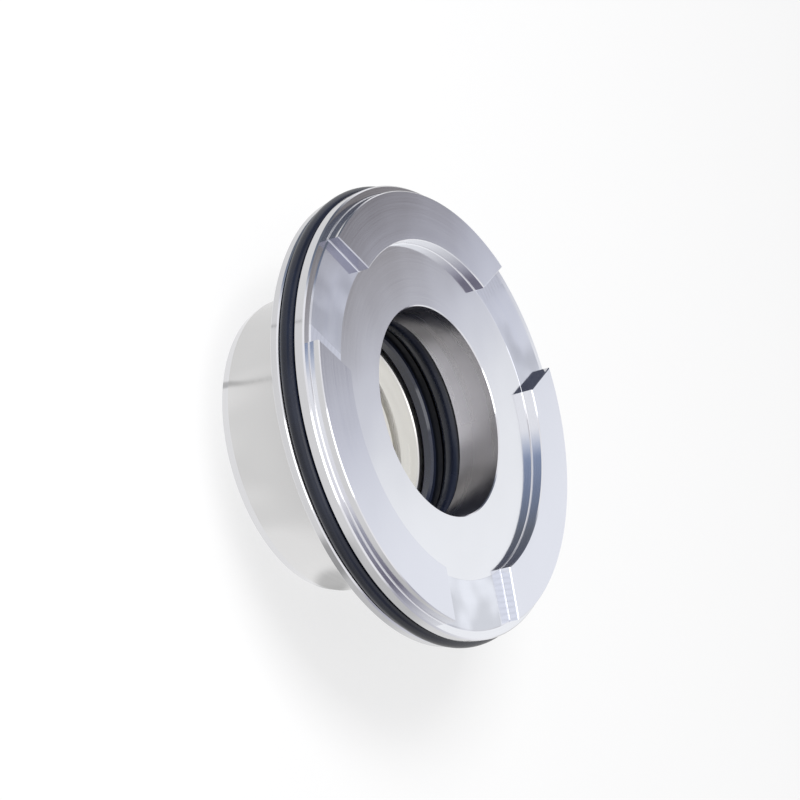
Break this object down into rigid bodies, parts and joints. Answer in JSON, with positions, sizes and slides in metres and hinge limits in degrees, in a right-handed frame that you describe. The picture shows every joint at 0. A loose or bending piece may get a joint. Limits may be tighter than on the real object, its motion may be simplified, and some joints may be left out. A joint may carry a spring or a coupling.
{
  "type": "cartridge mechanical seal",
  "caption": "Steel seal cartridge: flange with bayonet ramps, milled slots and a rim O-ring, on a tube that holds a spring-loaded rotating seal unit for a shaft.",
  "frame": {"origin": "centre of the tube's end face, on the seal axis: the part stands on the tube, the flange face up", "axes": "+Z along the seal axis, from the tube end towards the front face with the bayonet ramps; +Y through the middle of one slot between two ramps"},
  "size_m": [0.1018, 0.1018, 0.0369],
  "materials": {
    "turned_steel": "bright fine-turned stainless steel",
    "sleeve_steel": "fine-turned stainless steel",
    "pin_steel": "ground stainless steel",
    "spring_steel": "drawn spring steel",
    "seat_carbide": "lapped silicon carbide",
    "face_carbide": "lapped silicon carbide",
    "black_rubber": "smooth moulded rubber"
  },
  "bodies": {
    "gland": {"gland_housing": "turned_steel", "flange_o_ring": "black_rubber", "seat_o_ring": "black_rubber", "stationary_seat": "seat_carbide", "seat_pin_1": "pin_steel", "seat_pin_2": "pin_steel", "retaining_ring": "spring_steel"},
    "rotor": {"drive_sleeve": "sleeve_steel", "shaft_o_ring": "black_rubber", "drive_pin_1": "pin_steel", "drive_pin_2": "pin_steel", "spring_1": "spring_steel", "spring_2": "spring_steel", "spring_3": "spring_steel", "spring_4": "spring_steel", "spring_5": "spring_steel", "spring_6": "spring_steel", "spring_7": "spring_steel", "spring_8": "spring_steel"},
    "floating_face": {"rotary_face_ring": "face_carbide", "rotary_o_ring": "black_rubber", "thrust_plate": "sleeve_steel"}
  },
  "joints": [
    {"name": "rotor_spin", "type": "hinge", "parent": "gland", "child": "rotor", "pos_m": [0, 0, 0.003], "axis": [0, 0, 1], "continuous": true},
    {"name": "face_float", "type": "slide", "parent": "rotor", "child": "floating_face", "axis": [0, 0, 1], "range_m": [-0.0006, 0], "stiffness_N_per_m": 12000, "springref_m": 0.0025, "deforming": ["spring_1", "spring_2", "spring_3", "spring_4", "spring_5", "spring_6", "spring_7", "spring_8"]}
  ]
}
